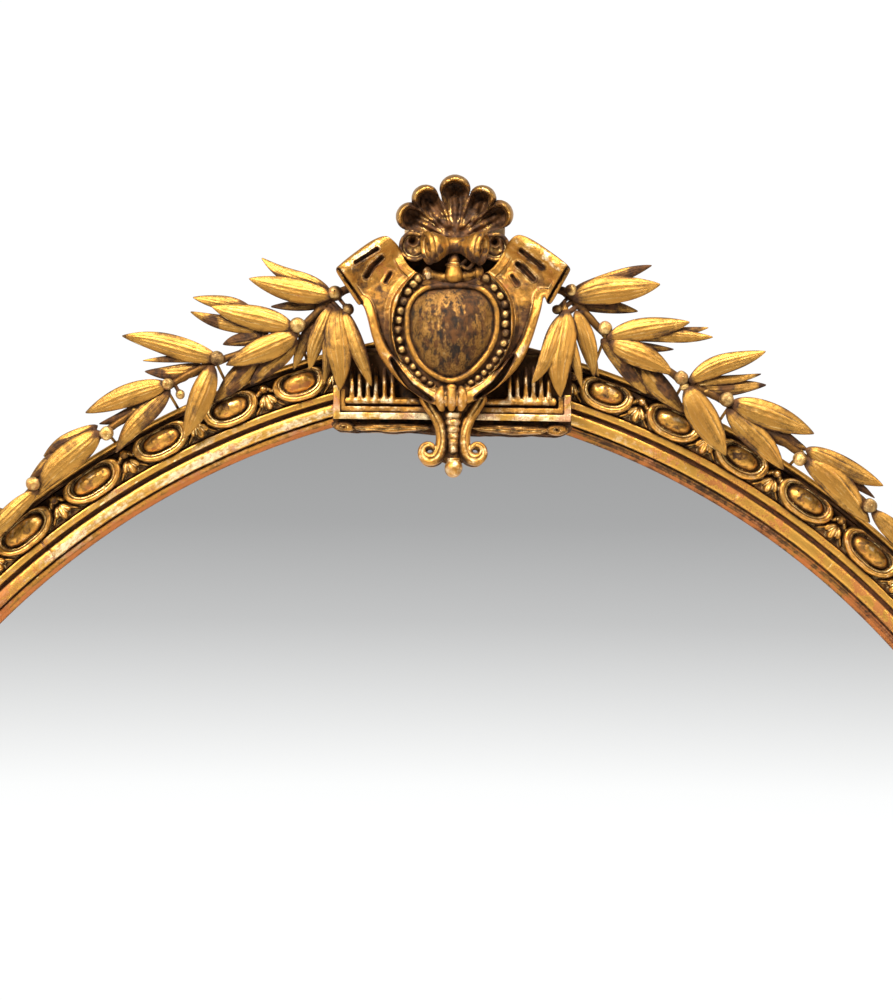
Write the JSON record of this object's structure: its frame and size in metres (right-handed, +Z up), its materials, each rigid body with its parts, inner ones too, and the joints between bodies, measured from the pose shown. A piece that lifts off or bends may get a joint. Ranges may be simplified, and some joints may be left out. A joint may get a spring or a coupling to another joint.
{
  "type": "trumeau_mirror",
  "caption": "Tall arched giltwood trumeau mirror with egg moulding, shell and cartouche crest and laurel branches",
  "frame": {"origin": "middle of the bottom rail's underside, in the middle of the pine frame's thickness", "axes": "+X to the right seen from the front, +Y towards the wall, +Z up; the mirror faces -Y"},
  "size_m": [1.475, 0.122, 1.9939],
  "materials": {
    "pine": "old unfinished pine",
    "hardwood": "oak, unfinished",
    "old_board": "dark aged board, unfinished",
    "aged_gilt": "gold leaf on gesso, aged and rubbed, dark in the hollows",
    "worn_gilt": "gold leaf worn through to red clay on the edges",
    "leaf_gilt": "gold leaf on carved leaves, dark in the veins",
    "dark_gilt": "gold leaf darkened with age, mottled",
    "mirror_glass": "silvered plate glass, faintly foxed at the edge",
    "hanger_brass": "dull brass",
    "screw_steel": "dull steel",
    "iron_wire": "dark iron wire"
  },
  "bodies": {
    "frame": {"left_stile": "pine", "right_stile": "pine", "bottom_rail": "pine", "left_arch_lower": "pine", "left_arch_upper": "pine", "right_arch_lower": "pine", "right_arch_upper": "pine", "joint_tongues": "hardwood", "rail_pegs": "hardwood", "left_sight_moulding": "worn_gilt", "left_egg_moulding": "aged_gilt", "left_outer_fillet": "aged_gilt", "right_sight_moulding": "worn_gilt", "right_egg_moulding": "aged_gilt", "right_outer_fillet": "aged_gilt", "bottom_sight_moulding": "worn_gilt", "bottom_egg_moulding": "aged_gilt", "bottom_outer_fillet": "aged_gilt", "mirror_plate": "mirror_glass", "glazing_blocks": "pine", "back_board_1": "old_board", "back_board_2": "old_board", "back_board_3": "old_board", "back_board_4": "old_board", "back_board_5": "old_board", "small_screws": "screw_steel", "crest_screws": "screw_steel", "wall_pads": "pine", "crest_board": "worn_gilt", "crest_block": "pine", "crest_brace": "pine", "shell": "aged_gilt", "scroll_spool": "aged_gilt", "turned_drop": "aged_gilt", "cartouche_body": "aged_gilt", "boss_rim": "aged_gilt", "bead_string": "aged_gilt", "cartouche_clasp": "aged_gilt", "crest_tablet": "aged_gilt", "tablet_edging": "aged_gilt", "tablet_flutes": "aged_gilt", "tablet_apron": "aged_gilt", "pendant_console": "aged_gilt", "pendant_husks": "aged_gilt", "cartouche_boss": "dark_gilt", "left_branch_stem": "dark_gilt", "left_spray_crest": "leaf_gilt", "left_spray_upper": "leaf_gilt", "left_spray_middle": "leaf_gilt", "left_spray_lower": "leaf_gilt", "right_branch_stem": "dark_gilt", "right_spray_crest": "leaf_gilt", "right_spray_upper": "leaf_gilt", "right_spray_middle": "leaf_gilt", "right_spray_lower": "leaf_gilt", "branch_pins": "iron_wire", "left_hanger_plate": "hanger_brass", "right_hanger_plate": "hanger_brass"},
    "left_ring": {"left_ring": "hanger_brass"},
    "right_ring": {"right_ring": "hanger_brass"}
  },
  "joints": [
    {"name": "left_ring_swing", "type": "hinge", "parent": "frame", "child": "left_ring", "pos_m": [-0.648, 0.0164, 1.33], "axis": [1, 0, 0], "range_deg": [0, 170]},
    {"name": "right_ring_swing", "type": "hinge", "parent": "frame", "child": "right_ring", "pos_m": [0.648, 0.0164, 1.33], "axis": [1, 0, 0], "range_deg": [0, 170]}
  ]
}
